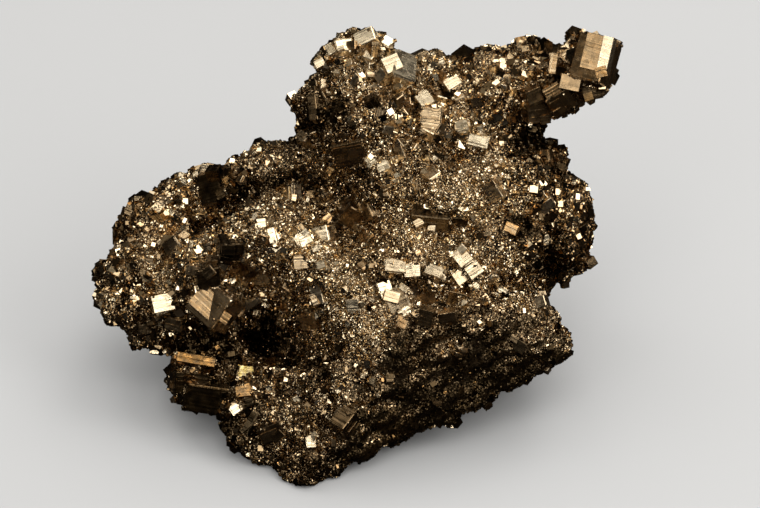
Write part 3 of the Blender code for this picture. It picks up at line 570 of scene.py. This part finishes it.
class Skin:
    """The ore's skin in the display face's frame, what each of its quads is like, and its larger crystals."""

    def __init__(self, places, quads, openness, crystals, growths):
        self.places, self.quads, self.crystals, self.growths = places, quads, crystals, growths
        corners = places[quads]
        cross = np.cross(corners[:, 2] - corners[:, 0], corners[:, 3] - corners[:, 1])
        self.areas = np.linalg.norm(cross, axis=1) / 2
        self.normals = cross / np.maximum(2 * self.areas, TINY)[:, None]
        self.centres = corners.mean(1)
        self.broken = broken_share(self.normals, self.centres)
        self.black = blackening(self.centres, self.normals, openness[quads].mean(1))

    def scatter(self, density, rng, clearance, least_height):
        """Points strewn to a square millimetre, clear of the crystals and the base, and the quad of each."""
        counts = np.floor(self.areas * density + rng.random(len(self.quads))).astype(int)
        owner = np.repeat(np.arange(len(self.quads)), counts)
        s, t = rng.random((2, len(owner), 1))
        a, b, c, d = (self.places[self.quads[owner, i]] for i in range(4))
        points = (1 - s) * (1 - t) * a + s * (1 - t) * b + s * t * c + (1 - s) * t * d
        keep = ~in_crystals(points, self.crystals, clearance) & (in_world(points)[:, 2] > least_height * MM)
        return points[keep], owner[keep]


def openness_of(tree, places, normals):
    """How open each point of the skin lies: 1 on an open flat and towards 0 deep in a hollow."""
    directions = spiral(SKY_RAYS)
    rays = [Vector(direction) for direction in directions]
    facing = normals @ directions.T
    found = np.zeros(len(places))
    for i, (place, normal) in enumerate(zip(places, normals)):
        start = Vector(place + normal * SKY_START_MM)
        total = free = 0.0
        for k in np.nonzero(facing[i] > SKY_LEAST_COSINE)[0]:
            weight = facing[i, k]
            distance = tree.ray_cast(start, rays[k], SKY_REACH_MM)[3]
            total += weight
            free += weight * (1.0 if distance is None else SKY_BLOCKED * distance / SKY_REACH_MM)
        found[i] = free / max(total, TINY)
    return found


@functools.lru_cache(maxsize=2)
def ore_skin(voxel):
    """The ore's roughened skin, with the larger crystals that stand in it."""
    bm = bmesh.new()
    bm.from_mesh(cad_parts[NODE].data)
    bmesh.ops.remove_doubles(bm, verts=bm.verts, dist=1e-7)
    bm.transform(TO_WORLD.inverted())
    tree = BVHTree.FromBMesh(bm)
    crystals = list(solid_crystals(tree))
    mesh = bpy.data.meshes.new("ore_maker")
    bm.to_mesh(mesh)
    bm.free()
    maker = object_of("ore_maker", mesh)
    remesh = maker.modifiers.new("even_skin", "REMESH")
    remesh.mode = "VOXEL"
    remesh.voxel_size = voxel
    made = bpy.data.meshes.new_from_object(maker.evaluated_get(bpy.context.evaluated_depsgraph_get()))
    bpy.data.objects.remove(maker)
    places = np.array([vertex.co for vertex in made.vertices])
    normals = np.array([vertex.normal for vertex in made.vertices])
    quads = np.array([polygon.vertices[:] for polygon in made.polygons])
    openness = openness_of(tree, places, normals)
    calm = broken_share(normals, places)
    heights = np.array([skin_relief(vertex.co, share) for vertex, share in zip(made.vertices, calm)])
    heights[in_crystals(places, crystals, BARE_MARGIN_MM)] = BARE_MM
    heights *= step(in_world(places)[:, 2], 0.0, RELIEF_FROM_BASE_MM * MM)
    bpy.data.meshes.remove(made)
    return Skin(places + normals * heights[:, None], quads, openness, crystals, list(overgrowths(tree)))


def toned(tones, black):
    """Tones of crystals darkened where the crust is black, painted shade included, and lifted where it is
    clean, painted light included.
    """
    darker, cleaner = np.maximum(black, 0.0), np.maximum(-black, 0.0)
    return 1 - (1 - tones * (1 - BLACK_DARKENS * darker)) * (1 - CLEAN_LIFTS * cleaner) - BLACK_TAKES * darker


def crowding(skin):
    """Larger crystals to a square millimetre."""
    total = np.full(len(skin.centres), CROWD_ANYWHERE)
    add_spots(total, skin.centres, skin.normals, CROWDS)
    total += CROWD_BACK * step(skin.normals[:, 2], -0.1, 0.4)
    return total * (1 - 0.99 * skin.broken)


def mellow(places):
    """How even the crust's tones are, from 0 where it glitters to 1 on the outermost lobes."""
    u, v = places[:, 0], places[:, 1]
    left = step(u, -12.0, -24.0) * step(v, 42.0, 54.0)
    right = step(u, 44.0, 50.0) * step(v, 38.0, 46.0)
    arm = 0.5 * step(u, 28.0, 38.0) * step(v, 70.0, 76.0)
    return np.maximum(left, np.maximum(right, arm))


def grain_size(places, normals):
    """Usual side of the crust's cubes, in millimetres: coarser on the left lobe, arm, right lobe and back."""
    u, v = places[:, 0], places[:, 1]
    size = 0.43 + 0.08 * np.sin(u * 0.31 + v * 0.17) * np.sin(v * 0.27 + 1.3)
    size += 0.26 * step(u, -8.0, -20.0)
    size += 0.22 * step(u, 14.0, 30.0) * step(v, 66.0, 76.0)
    size += 0.25 * step(u, 44.0, 50.0) * step(v, 40.0, 46.0)
    size += 0.50 * step(normals[:, 2], 0.0, 0.5)
    broken = broken_share(normals, places)
    return size * (1 - broken) + 0.33 * broken


def spared(rng, share, black):
    """Which crystals stay clean: a share of them, and fewer where the crust is black."""
    return rng.random(len(black)) < share * (1 - 0.7 * np.maximum(black, 0.0))


# ---- Shader nodes ----


def set_socket(tree, socket, value):
    """Link a socket to another, or set it to a number, or to three for a vector or a colour."""
    if isinstance(value, bpy.types.NodeSocket):
        tree.links.new(value, socket)
    elif isinstance(value, (int, float)):
        socket.default_value = value
    else:
        socket.default_value = (*value, 1.0)[: len(socket.default_value)]


def node(tree, kind, inputs=(), **settings):
    """The outputs of a new node with these settings; inputs pairs a socket's name or place with its value."""
    made = tree.nodes.new("ShaderNode" + kind)
    for name, value in settings.items():
        setattr(made, name, value)
    for key, value in dict(inputs).items():
        set_socket(tree, made.inputs[key], value)
    return made.outputs


def math_node(tree, operation, *values, clamp=False):
    return node(tree, "Math", enumerate(values), operation=operation, use_clamp=clamp)[0]


def vector_node(tree, operation, *values):
    return node(tree, "VectorMath", enumerate(values), operation=operation)["Vector"]


def scaled(tree, vector, factor):
    return node(tree, "VectorMath", {0: vector, "Scale": factor}, operation="SCALE")["Vector"]


def mix_colour(tree, share, first, second):
    return node(tree, "Mix", {0: share, 6: first, 7: second}, data_type="RGBA")[2]


def map_range(tree, value, low, high, to_low=0.0, to_high=1.0):
    return node(tree, "MapRange", enumerate((value, low, high, to_low, to_high)))["Result"]


def millimetres(tree):
    """The surface's place in millimetres."""
    return scaled(tree, node(tree, "TexCoord")["Object"], 1.0 / MM)


def noise_at(tree, place, scale, detail):
    return node(tree, "TexNoise", {"Vector": place, "Scale": scale, "Detail": detail})["Fac"]


def attribute(tree, name):
    return node(tree, "Attribute", attribute_name=name)["Fac"]


def group(name, numbers, colours, outputs):
    """A new node group with named sockets, and the sockets of its input and output nodes."""
    tree = bpy.data.node_groups.new(name, "ShaderNodeTree")
    for kind, labels in (("Float", numbers), ("Color", colours)):
        for label in labels:
            tree.interface.new_socket(label, in_out="INPUT", socket_type="NodeSocket" + kind)
    for label, kind in outputs.items():
        tree.interface.new_socket(label, in_out="OUTPUT", socket_type="NodeSocket" + kind)
    return tree, tree.nodes.new("NodeGroupInput").outputs, tree.nodes.new("NodeGroupOutput").inputs


# ---- Materials ----

COLOURS = ("Dark", "Bronze", "Gold", "Tarnish", "Yellow")
# Growth ridges in bands: how many lines against the usual number, and the weight of each band.
BANDS = ((0.5, 0.4), (1.0, 0.4), (2.4, 0.2))


def fine_facets():
    """Cleavage facets too small to model: each cell's surface is tilted its own way."""
    outputs = {"Normal": "Vector", "Cell Value": "Float"}
    tree, given, put = group("fine_facets", ("Cell Size", "Tilt"), (), outputs)
    scale = math_node(tree, "DIVIDE", 1.0, given["Cell Size"])
    cell = node(tree, "TexVoronoi", {"Vector": millimetres(tree), "Scale": scale})["Color"]
    tilted = scaled(tree, vector_node(tree, "SUBTRACT", cell, (0.5, 0.5, 0.5)), given["Tilt"])
    total = vector_node(tree, "ADD", node(tree, "NewGeometry")["Normal"], tilted)
    tree.links.new(vector_node(tree, "NORMALIZE", total), put["Normal"])
    tree.links.new(node(tree, "SeparateColor", {"Color": cell})["Green"], put["Cell Value"])
    return tree


def tarnish():
    """Colour of pyrite from black through bronze to pale gold, with amber tarnish in drifts."""
    numbers = ("Tone", "Amber", "Mottle", "Least Roughness", "Smear")
    tree, given, put = group("tarnish", numbers, COLOURS, {"Color": "Color", "Roughness": "Float"})
    place = millimetres(tree)
    speck = noise_at(tree, place, 0.9, 3.0)
    mottle = math_node(tree, "SUBTRACT", speck, 0.5)
    tone = math_node(tree, "MULTIPLY_ADD", mottle, given["Mottle"], given["Tone"])
    low = mix_colour(tree, map_range(tree, tone, 0.0, 0.5), given["Dark"], given["Bronze"])
    body = mix_colour(tree, map_range(tree, tone, 0.45, 1.0), low, given["Gold"])
    drifts = map_range(tree, noise_at(tree, place, 0.09, 3.0), 0.56, 0.76, 0.0, 0.14)
    stained = math_node(tree, "MULTIPLY", math_node(tree, "ADD", drifts, given["Amber"], clamp=True), 0.9)
    patchy = math_node(tree, "MULTIPLY", stained, map_range(tree, speck, 0.25, 0.65), clamp=True)
    film = mix_colour(tree, map_range(tree, given["Amber"], 1.0, 2.0), given["Tarnish"], given["Yellow"])
    tree.links.new(mix_colour(tree, patchy, body, film), put["Color"])
    smear = map_range(tree, noise_at(tree, place, 0.7, 2.0), 0.35, 0.7)
    roughness = math_node(tree, "MULTIPLY_ADD", smear, given["Smear"], given["Least Roughness"])
    tree.links.new(roughness, put["Roughness"])
    return tree


def growth_lines():
    """Growth lines across a crystal's face: fine ridges in bands, each of its own height."""
    tree, given, put = group("growth_lines", ("Lines Per mm", "Offset"), (), {"Height": "Float"})
    flat = node(tree, "SeparateXYZ", {0: node(tree, "UVMap", uv_map="growth")["UV"]})
    wave = math_node(tree, "MULTIPLY", noise_at(tree, millimetres(tree), 0.25, 0.0), 0.4)
    bent = math_node(tree, "MULTIPLY_ADD", flat["X"], 0.03, flat["Y"])
    along = math_node(tree, "ADD", math_node(tree, "ADD", bent, wave), given["Offset"])
    total = 0.0
    for share, weight in BANDS:
        lines = math_node(tree, "MULTIPLY", given["Lines Per mm"], share)
        place = {"W": math_node(tree, "MULTIPLY", along, lines), "Scale": 1.0, "Detail": 0.0}
        ridge = map_range(tree, node(tree, "TexNoise", place, noise_dimensions="1D")["Fac"], 0.36, 0.64)
        total = math_node(tree, "MULTIPLY_ADD", ridge, weight, total)
    tree.links.new(total, put["Height"])
    return tree


def group_node(tree, build, **values):
    """The outputs of a shared node group, which is made the first time that it is used."""
    named = {label.replace("_", " "): value for label, value in values.items()}
    return node(tree, "Group", named, node_tree=bpy.data.node_groups.get(build.__name__) or build())


def metal(name, viewport_colour):
    """A new metallic material and its tree."""
    material = bpy.data.materials.new(name)
    material.use_nodes = True
    material.diffuse_color = (*viewport_colour, 1.0)
    tree = material.node_tree
    tree.nodes["Principled BSDF"].inputs["Metallic"].default_value = 1.0
    return material, tree


def dress(tree, colours, normal, **values):
    """Give a material's shader its normal and the colour and roughness of the tarnish group."""
    values.update({name: getattr(colours, name.lower()) for name in COLOURS})
    made = group_node(tree, tarnish, **values)
    given = tree.nodes["Principled BSDF"].inputs
    tree.links.new(made["Color"], given["Base Color"])
    tree.links.new(made["Roughness"], given["Roughness"])
    tree.links.new(normal, given["Normal"])


def massive_ore(colours):
    """The ore: loosely tilted facets, flat where it is sawn, and duller on the broken face."""
    material, tree = metal("massive_ore", colours.bronze)
    broken = attribute(tree, "broken")
    loose = map_range(tree, broken, 0.0, 1.0, 1.3, 0.8)
    flatter = math_node(tree, "SUBTRACT", 0.06, loose)
    tilt = math_node(tree, "MULTIPLY_ADD", attribute(tree, "sawn"), flatter, loose)
    facets = group_node(tree, fine_facets, Cell_Size=0.22, Tilt=tilt)
    # The ore's tone darkens with black, which carries painted shade as well as drifts of black.
    clean = map_range(tree, attribute(tree, "black"), 0.0, 1.0, 0.8, 0.05)
    tone = math_node(tree, "MULTIPLY", facets["Cell Value"], clean)
    dull = map_range(tree, broken, 0.0, 1.0, 0.14, 0.3)
    normal = facets["Normal"]
    dress(tree, colours, normal, Tone=tone, Amber=0.03, Mottle=0.3, Least_Roughness=dull, Smear=0.14)
    return material


def crystal_crust(colours):
    """The small cubes: whole or finely broken faces, each cube in its own tone."""
    material, tree = metal("crystal_crust", colours.bronze)
    tilt = map_range(tree, attribute(tree, "fine"), 0.0, 1.0, 0.05, 1.35)
    normal = group_node(tree, fine_facets, Cell_Size=0.21, Tilt=tilt)["Normal"]
    tone, amber = attribute(tree, "tone"), attribute(tree, "amber")
    dress(tree, colours, normal, Tone=tone, Amber=amber, Mottle=0.2, Least_Roughness=0.1, Smear=0.1)
    return material


def large_crystals(colours):
    """The larger crystals: nearly flat faces under growth lines, which also tint them."""
    material, tree = metal("large_crystals", colours.gold)
    growth = group_node(tree, growth_lines, Lines_Per_mm=2.0, Offset=attribute(tree, "seed"))["Height"]
    lined = math_node(tree, "MULTIPLY_ADD", growth, 0.2, attribute(tree, "tone"))
    tone, amber = math_node(tree, "SUBTRACT", lined, 0.1), attribute(tree, "amber")
    blocks = group_node(tree, fine_facets, Cell_Size=1.3, Tilt=0.06)["Normal"]
    bumps = {"Strength": 0.5, "Distance": 0.07 * MM, "Height": growth, "Normal": blocks}
    normal = node(tree, "Bump", bumps)["Normal"]
    dress(tree, colours, normal, Tone=tone, Amber=amber, Mottle=0.18, Least_Roughness=0.22, Smear=0.1)
    return material


# ---- The user's sizes and colours ----


class SizeSettings(bpy.types.PropertyGroup):
    voxel: FloatProperty(
        name="Skin Detail", description="Spacing of the ore's faces, in mm", default=0.9, min=0.5, max=2.0
    )
    seed: IntProperty(name="Seed", description="Which crust of small cubes is grown", default=11)
    cubes: FloatProperty(
        name="Cube Size", description="Size of the small cubes against their usual one", default=1.0, min=0.5
    )
    druse: FloatProperty(
        name="Druse", description="Share of the usual number of crystals of 1 to 3 mm", default=1.0, min=0.0
    )
    chamfer: FloatProperty(
        name="Edge Chamfer", description="Width of the large crystals' worn edges, in mm", default=0.09
    )
    mates: IntProperty(
        name="Mates", description="Smaller crystals grown through each large one", default=2, min=0
    )
    terraces: IntProperty(
        name="Terraces", description="Growth terraces tried on each large crystal", default=5, min=0
    )


class ColourSettings(bpy.types.PropertyGroup):
    dark: FloatVectorProperty(
        name="Dark", description="Blackened pyrite in the pits", subtype="COLOR", default=(0.04, 0.026, 0.012)
    )
    bronze: FloatVectorProperty(
        name="Bronze", description="Usual brown of the crust", subtype="COLOR", default=(0.36, 0.25, 0.135)
    )
    gold: FloatVectorProperty(
        name="Pale Gold", description="Clean crystal faces", subtype="COLOR", default=(0.88, 0.72, 0.48)
    )
    tarnish: FloatVectorProperty(
        name="Tarnish", description="Amber film on some crystals", subtype="COLOR", default=(0.58, 0.29, 0.08)
    )
    yellow: FloatVectorProperty(
        name="Yellow", description="Yellow film on some crystals", subtype="COLOR", default=(0.95, 0.66, 0.13)
    )
    floor: FloatVectorProperty(
        name="Floor", description="Colour of the plain floor", subtype="COLOR", default=(0.30, 0.297, 0.291)
    )
    light: FloatProperty(
        name="Light", description="Power of all the soft lights together", subtype="POWER", default=5.65
    )


# ---- Operators ----


def place_piece(name, mesh, build, colours):
    """Place a mesh as a piece of the specimen, in a material that is made the first time that it is used."""
    piece = object_of(name, mesh)
    piece.data.materials.append(bpy.data.materials.get(build.__name__) or build(colours))
    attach(piece, "root")
    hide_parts(NODE)


def place_boxes(name, build, colours, shape, boxes, chosen, **values):
    """Place the chosen boxes as one piece, with each box's values on all of its faces."""
    mesh = boxes_mesh(name, shape, *(part[chosen] for part in boxes))
    for label, per_box in values.items():
        add_value(mesh, label, np.repeat(per_box[chosen], len(shape[2])))
    place_piece(name, mesh, build, colours)


class PYRITE_OT_ore(bpy.types.Operator):
    """Roughen the skin of the massive ore"""

    bl_idname = "pyrite.ore"
    bl_label = "Ore"

    def execute(self, context):
        scene = context.scene
        skin = ore_skin(scene.pyrite_sizes.voxel)
        places = in_world(skin.places)
        places[:, 2] = np.maximum(places[:, 2], 0.0)
        mesh = bpy.data.meshes.new("ore")
        mesh.from_pydata(places.tolist(), [], skin.quads.tolist())
        # Black carries painted shade and painted light as well as drifts of black.
        add_value(mesh, "black", skin.black)
        add_value(mesh, "sawn", places[skin.quads, 2].max(1) < SAWN_UNDER_MM * MM)
        add_value(mesh, "broken", skin.broken)
        mesh.shade_smooth()
        place_piece("ore", mesh, massive_ore, scene.pyrite_colours)
        return {"FINISHED"}


class PYRITE_OT_crust(bpy.types.Operator):
    """Grow the crust of small cubes over the ore"""

    bl_idname = "pyrite.crust"
    bl_label = "Crust"

    def execute(self, context):
        settings, colours = context.scene.pyrite_sizes, context.scene.pyrite_colours
        rng = np.random.default_rng(settings.seed)
        skin = ore_skin(settings.voxel)
        density = (1 - 0.66 * skin.broken) / (1.09 * grain_size(skin.centres, skin.normals)) ** 2
        points, owner = skin.scatter(density, rng, clearance=0.1, least_height=0.35)
        normals, black, count = skin.normals[owner], skin.black[owner], len(points)
        broken = broken_share(normals, points)
        spread = np.clip(rng.lognormal(-0.12, 0.5, count), 0.55, 3.2)
        sizes = grain_size(points, normals) * settings.cubes * spread
        habit = {"stretch": (0.78, 1.18), "lean_deg": 24.0, "loose_share": 0.35, "rise": (0.2, 0.75)}
        grown = grow(rng, points, normals, sizes, **habit, flatness=1 - 0.45 * broken)
        clean = spared(rng, 0.07 * (1 - broken), black)
        evened = mellow(points)
        raw = rng.beta(0.8, 0.72, count)
        raw += 0.45 * evened * (0.5 - raw)
        # The tones take painted shade and painted light from black.
        tones = toned(raw * (1 - 0.2 * broken), np.where(clean, -0.3, black))
        ambers = 0.6 * rng.random(count) ** 12
        boxes = (*grown, np.zeros(count), random_bends(rng, count))
        fine = (1 - step(boxes[2].mean(1), *FINE_HALVES_MM)) * (1 - 0.85 * evened)
        order = np.argsort(boxes[0][:, 0])
        order = order[above_floor(*grown)[order]]
        per_piece = PIECE_TRIANGLES // 12
        for i, start in enumerate(range(0, len(order), per_piece)):
            chosen = order[start : start + per_piece]
            values = {"tone": tones, "amber": ambers, "fine": fine}
            place_boxes(f"crust_{i + 1}", crystal_crust, colours, PLAIN_BOX, boxes, chosen, **values)
        return {"FINISHED"}


class PYRITE_OT_druse(bpy.types.Operator):
    """Strew crystals of one to three millimetres over the crust"""

    bl_idname = "pyrite.druse"
    bl_label = "Druse"

    def execute(self, context):
        settings, colours = context.scene.pyrite_sizes, context.scene.pyrite_colours
        rng = np.random.default_rng(settings.seed + 1)
        skin = ore_skin(settings.voxel)
        crowds = crowding(skin)
        points, owner = skin.scatter(settings.druse * crowds, rng, clearance=0.0, least_height=1.2)
        normals, black, count = skin.normals[owner], skin.black[owner], len(points)
        crowd = step(crowds[owner], 0.04, 0.2)
        sizes = 0.75 + (1.0 + 1.3 * crowd) * rng.random(count) ** 2.4 + 0.35 * step(normals[:, 2], 0.0, 0.5)
        habit = {"stretch": (0.75, 1.15), "lean_deg": 26.0, "loose_share": 0.4, "rise": (0.2, 0.5)}
        grown = grow(rng, points, normals, sizes, **habit)
        clean = spared(rng, 0.2, black)
        # The tones take painted shade and painted light from black.
        tones = toned(rng.beta(1.3, 1.0, count), np.where(clean, -0.3, 0.8 * black))
        ambers, seeds = 0.7 * rng.random(count) ** 10, rng.random(count) * OFFSET_SPAN
        boxes = (*grown, 0.05 * sizes, random_bends(rng, count))
        clear, small = above_floor(*grown), sizes < CHAMFERED_FROM_MM
        values = {"tone": tones, "amber": ambers, "seed": seeds}
        kinds = (("druse_small", PLAIN_BOX, small), ("druse_large", chamfered_box(), ~small))
        for name, shape, some in kinds:
            place_boxes(name, large_crystals, colours, shape, boxes, clear & some, **values)
        return {"FINISHED"}


class PYRITE_OT_crystals(bpy.types.Operator):
    """Dress the larger crystals with worn edges and growth terraces"""

    bl_idname = "pyrite.crystals"
    bl_label = "Large Crystals"

    def execute(self, context):
        settings, colours = context.scene.pyrite_sizes, context.scene.pyrite_colours
        rng = np.random.default_rng(LARGE_SEED)
        skin = ore_skin(settings.voxel)
        rows = []

        def add(centre, turn, half, finish, chamfer):
            rows.append((centre, turn, half, chamfer, (*finish, rng.random() * OFFSET_SPAN)))

        def toned_near(finish, spread):
            return float(np.clip(finish[0] + rng.normal(0, spread), 0, 1)), finish[1]

        for centre, turn, half, finish in skin.growths:
            add(centre, turn, half, finish, settings.chamfer)
        for centre, turn, half, finish in skin.crystals:
            edge = settings.chamfer * (0.6 + 0.5 * half.min())
            add(centre, turn, half + PROUD_MM, finish, edge)
            for _ in range(settings.mates):
                corner = centre + turn @ (half * rng.choice([-1.0, 1.0], 3) * rng.uniform(0.45, 0.85, 3))
                near = toned_near(finish, 0.15)
                share = rng.uniform(0.3, 0.55)
                add(corner, turn @ small_turn(rng, 16.0), half * share, near, 0.05)
            for _ in range(settings.terraces):
                axis = int(rng.integers(3))
                sign = 1.0 if rng.random() < 0.5 else -1.0
                slab = half * rng.uniform(0.35, 0.92, 3)
                slab[axis] = half[axis] * rng.uniform(0.2, 0.5)
                shift = (half - slab) * rng.choice([-1.0, 1.0], 3) * rng.uniform(0.5, 1.0, 3)
                shift[axis] = sign * (half[axis] + PROUD_MM + rng.uniform(0.06, 0.24) - slab[axis])
                add(centre + turn @ shift, turn, slab, toned_near(finish, 0.08), 0.03)
        *boxes, finishes = (np.array(part) for part in zip(*rows))
        boxes.append(np.zeros((len(rows), 4)))
        values = dict(zip(("tone", "amber", "seed"), finishes.T))
        clear = above_floor(*boxes[:3])
        place_boxes("crystals", large_crystals, colours, chamfered_box(), boxes, clear, **values)
        self.add_crumbs(skin.crystals, rng, colours)
        return {"FINISHED"}

    def add_crumbs(self, crystals, rng, colours):
        """Small cubes of the crust that have crept over the larger crystals, mostly near their edges."""
        rows = []
        for centre, turn, half, finish in crystals:
            area = half[0] * half[1] + half[1] * half[2] + half[2] * half[0]
            for _ in range(rng.poisson(CRUMBS_PER_AREA * area)):
                place = rng.choice([-1.0, 1.0], 3) * (1 - 0.9 * rng.random(3) ** 2.2)
                axis = int(rng.integers(3))
                place[axis] = np.sign(place[axis])
                turned = turn @ small_turn(rng, 40.0)
                small = (0.14 + 0.3 * rng.random() ** 2) * rng.uniform(0.7, 1.2, 3)
                tone = np.clip(0.25 * finish[0] + 0.9 * rng.random() ** 1.5, 0, 1)
                rows.append((centre + turn @ (place * half), turned, small, tone))
        parts = [np.array(part) for part in zip(*rows)]
        clear = above_floor(*parts[:3])
        *grown, tones = (part[clear] for part in parts)
        count = len(tones)
        boxes = (*grown, np.zeros(count), random_bends(rng, count))
        values = {"tone": tones, "amber": 0.5 * rng.random(count) ** 10, "fine": np.full(count, 0.4)}
        place_boxes("crumbs", crystal_crust, colours, PLAIN_BOX, boxes, slice(None), **values)


class PYRITE_OT_stage(bpy.types.Operator):
    """Set the plain floor, the soft lights and the camera"""

    bl_idname = "pyrite.stage"
    bl_label = "Stage"

    def execute(self, context):
        scene = context.scene
        colours = scene.pyrite_colours
        self.add_floor(colours.floor)
        for name, heading, rise, share, size in LIGHTS:
            turn, lift = math.radians(heading), math.radians(rise)
            self.add_light(name, turn, lift, share * colours.light, size)
        self.add_world(scene)
        self.add_camera(scene)
        scene.view_settings.view_transform = "Standard"
        scene.view_settings.look = "None"
        return {"FINISHED"}

    def add_floor(self, colour):
        """A plain pale floor, which the metal mirrors dark."""
        mesh = bpy.data.meshes.new("floor")
        far = FLOOR_HALF_SIDE
        mesh.from_pydata([(-far, -far, 0), (far, -far, 0), (far, far, 0), (-far, far, 0)], [], [(0, 1, 2, 3)])
        floor = object_of("floor", mesh)
        material = bpy.data.materials.new("plain_floor")
        material.use_nodes = True
        tree = material.node_tree
        shader = tree.nodes["Principled BSDF"].inputs
        shader["Roughness"].default_value = 0.9
        shader["Specular IOR Level"].default_value = 0.0
        mirrored = node(tree, "LightPath")["Is Glossy Ray"]
        tree.links.new(mix_colour(tree, mirrored, colour, MIRRORED_FLOOR), shader["Base Color"])
        floor.data.materials.append(material)

    def add_light(self, name, turn, lift, watts, size):
        """A disk lamp aimed at the specimen's middle, turned from the front to the right and lifted."""
        out = Vector((math.cos(lift) * math.sin(turn), -math.cos(lift) * math.cos(turn), math.sin(lift)))
        light = bpy.data.lights.new(name, "AREA")
        light.shape = "DISK"
        light.size = size
        light.energy = watts
        lamp = object_of(name, light)
        lamp.location = Vector(LIGHT_TARGET) + LIGHT_DISTANCE * out
        lamp.rotation_mode = "QUATERNION"
        lamp.rotation_quaternion = out.to_track_quat("Z", "Y")

    def add_world(self, scene):
        """A pale wall for the eye, a soft fill for the floor, and a dark room for the metal to mirror."""
        world = bpy.data.worlds.new("studio")
        scene.world = world
        world.use_nodes = True
        tree = world.node_tree
        height = node(tree, "SeparateXYZ", {0: node(tree, "TexCoord")["Generated"]})["Z"]
        overhead = math_node(tree, "POWER", map_range(tree, height, 0.25, 1.0), 2.0)
        room = mix_colour(tree, overhead, MIRRORED_ROOM, MIRRORED_OVERHEAD)
        wall = mix_colour(tree, map_range(tree, height, 0.0, 0.15), WALL_LOW, WALL_HIGH)
        path = node(tree, "LightPath")
        level = mix_colour(tree, path["Is Diffuse Ray"], wall, FILL)
        shown = mix_colour(tree, path["Is Glossy Ray"], level, room)
        tree.links.new(shown, tree.nodes["Background"].inputs["Color"])

    def add_camera(self, scene):
        data = bpy.data.cameras.new("camera")
        data.lens, data.sensor_width = LENS_MM, SENSOR_MM
        data.clip_start, data.clip_end = CAMERA_CLIPS
        scene.camera = object_of("camera", data)
        distance = VIEW_WIDTH_MM / SENSOR_MM * LENS_MM
        scene.camera.location = TO_WORLD @ (Vector(AIM_MM) - Vector((0, 0, distance)))
        scene.camera.rotation_euler = (math.radians(90.0 - LEAN_DEG), 0.0, 0.0)


OPERATORS = (PYRITE_OT_ore, PYRITE_OT_crust, PYRITE_OT_druse, PYRITE_OT_crystals, PYRITE_OT_stage)


class PYRITE_PT_panel(bpy.types.Panel):
    """Sizes, colours and steps of the pyrite specimen"""

    bl_idname = "PYRITE_PT_panel"
    bl_label = "Pyrite Specimen"
    bl_space_type = "VIEW_3D"
    bl_region_type = "UI"
    bl_category = "Pyrite"

    def draw(self, context):
        for settings in (context.scene.pyrite_sizes, context.scene.pyrite_colours):
            box = self.layout.box()
            for name in settings.__annotations__:
                box.prop(settings, name)
        for operator in OPERATORS:
            self.layout.operator(operator.bl_idname)


CLASSES = (SizeSettings, ColourSettings, *OPERATORS, PYRITE_PT_panel)


def register():
    for cls in CLASSES:
        bpy.utils.register_class(cls)
    bpy.types.Scene.pyrite_sizes = PointerProperty(type=SizeSettings)
    bpy.types.Scene.pyrite_colours = PointerProperty(type=ColourSettings)


def unregister():
    del bpy.types.Scene.pyrite_colours, bpy.types.Scene.pyrite_sizes
    for cls in reversed(CLASSES):
        bpy.utils.unregister_class(cls)


def main():
    register()
    for name in ("ore", "crust", "druse", "crystals", "stage"):
        getattr(bpy.ops.pyrite, name)()


if __name__ == "__main__":
    main()
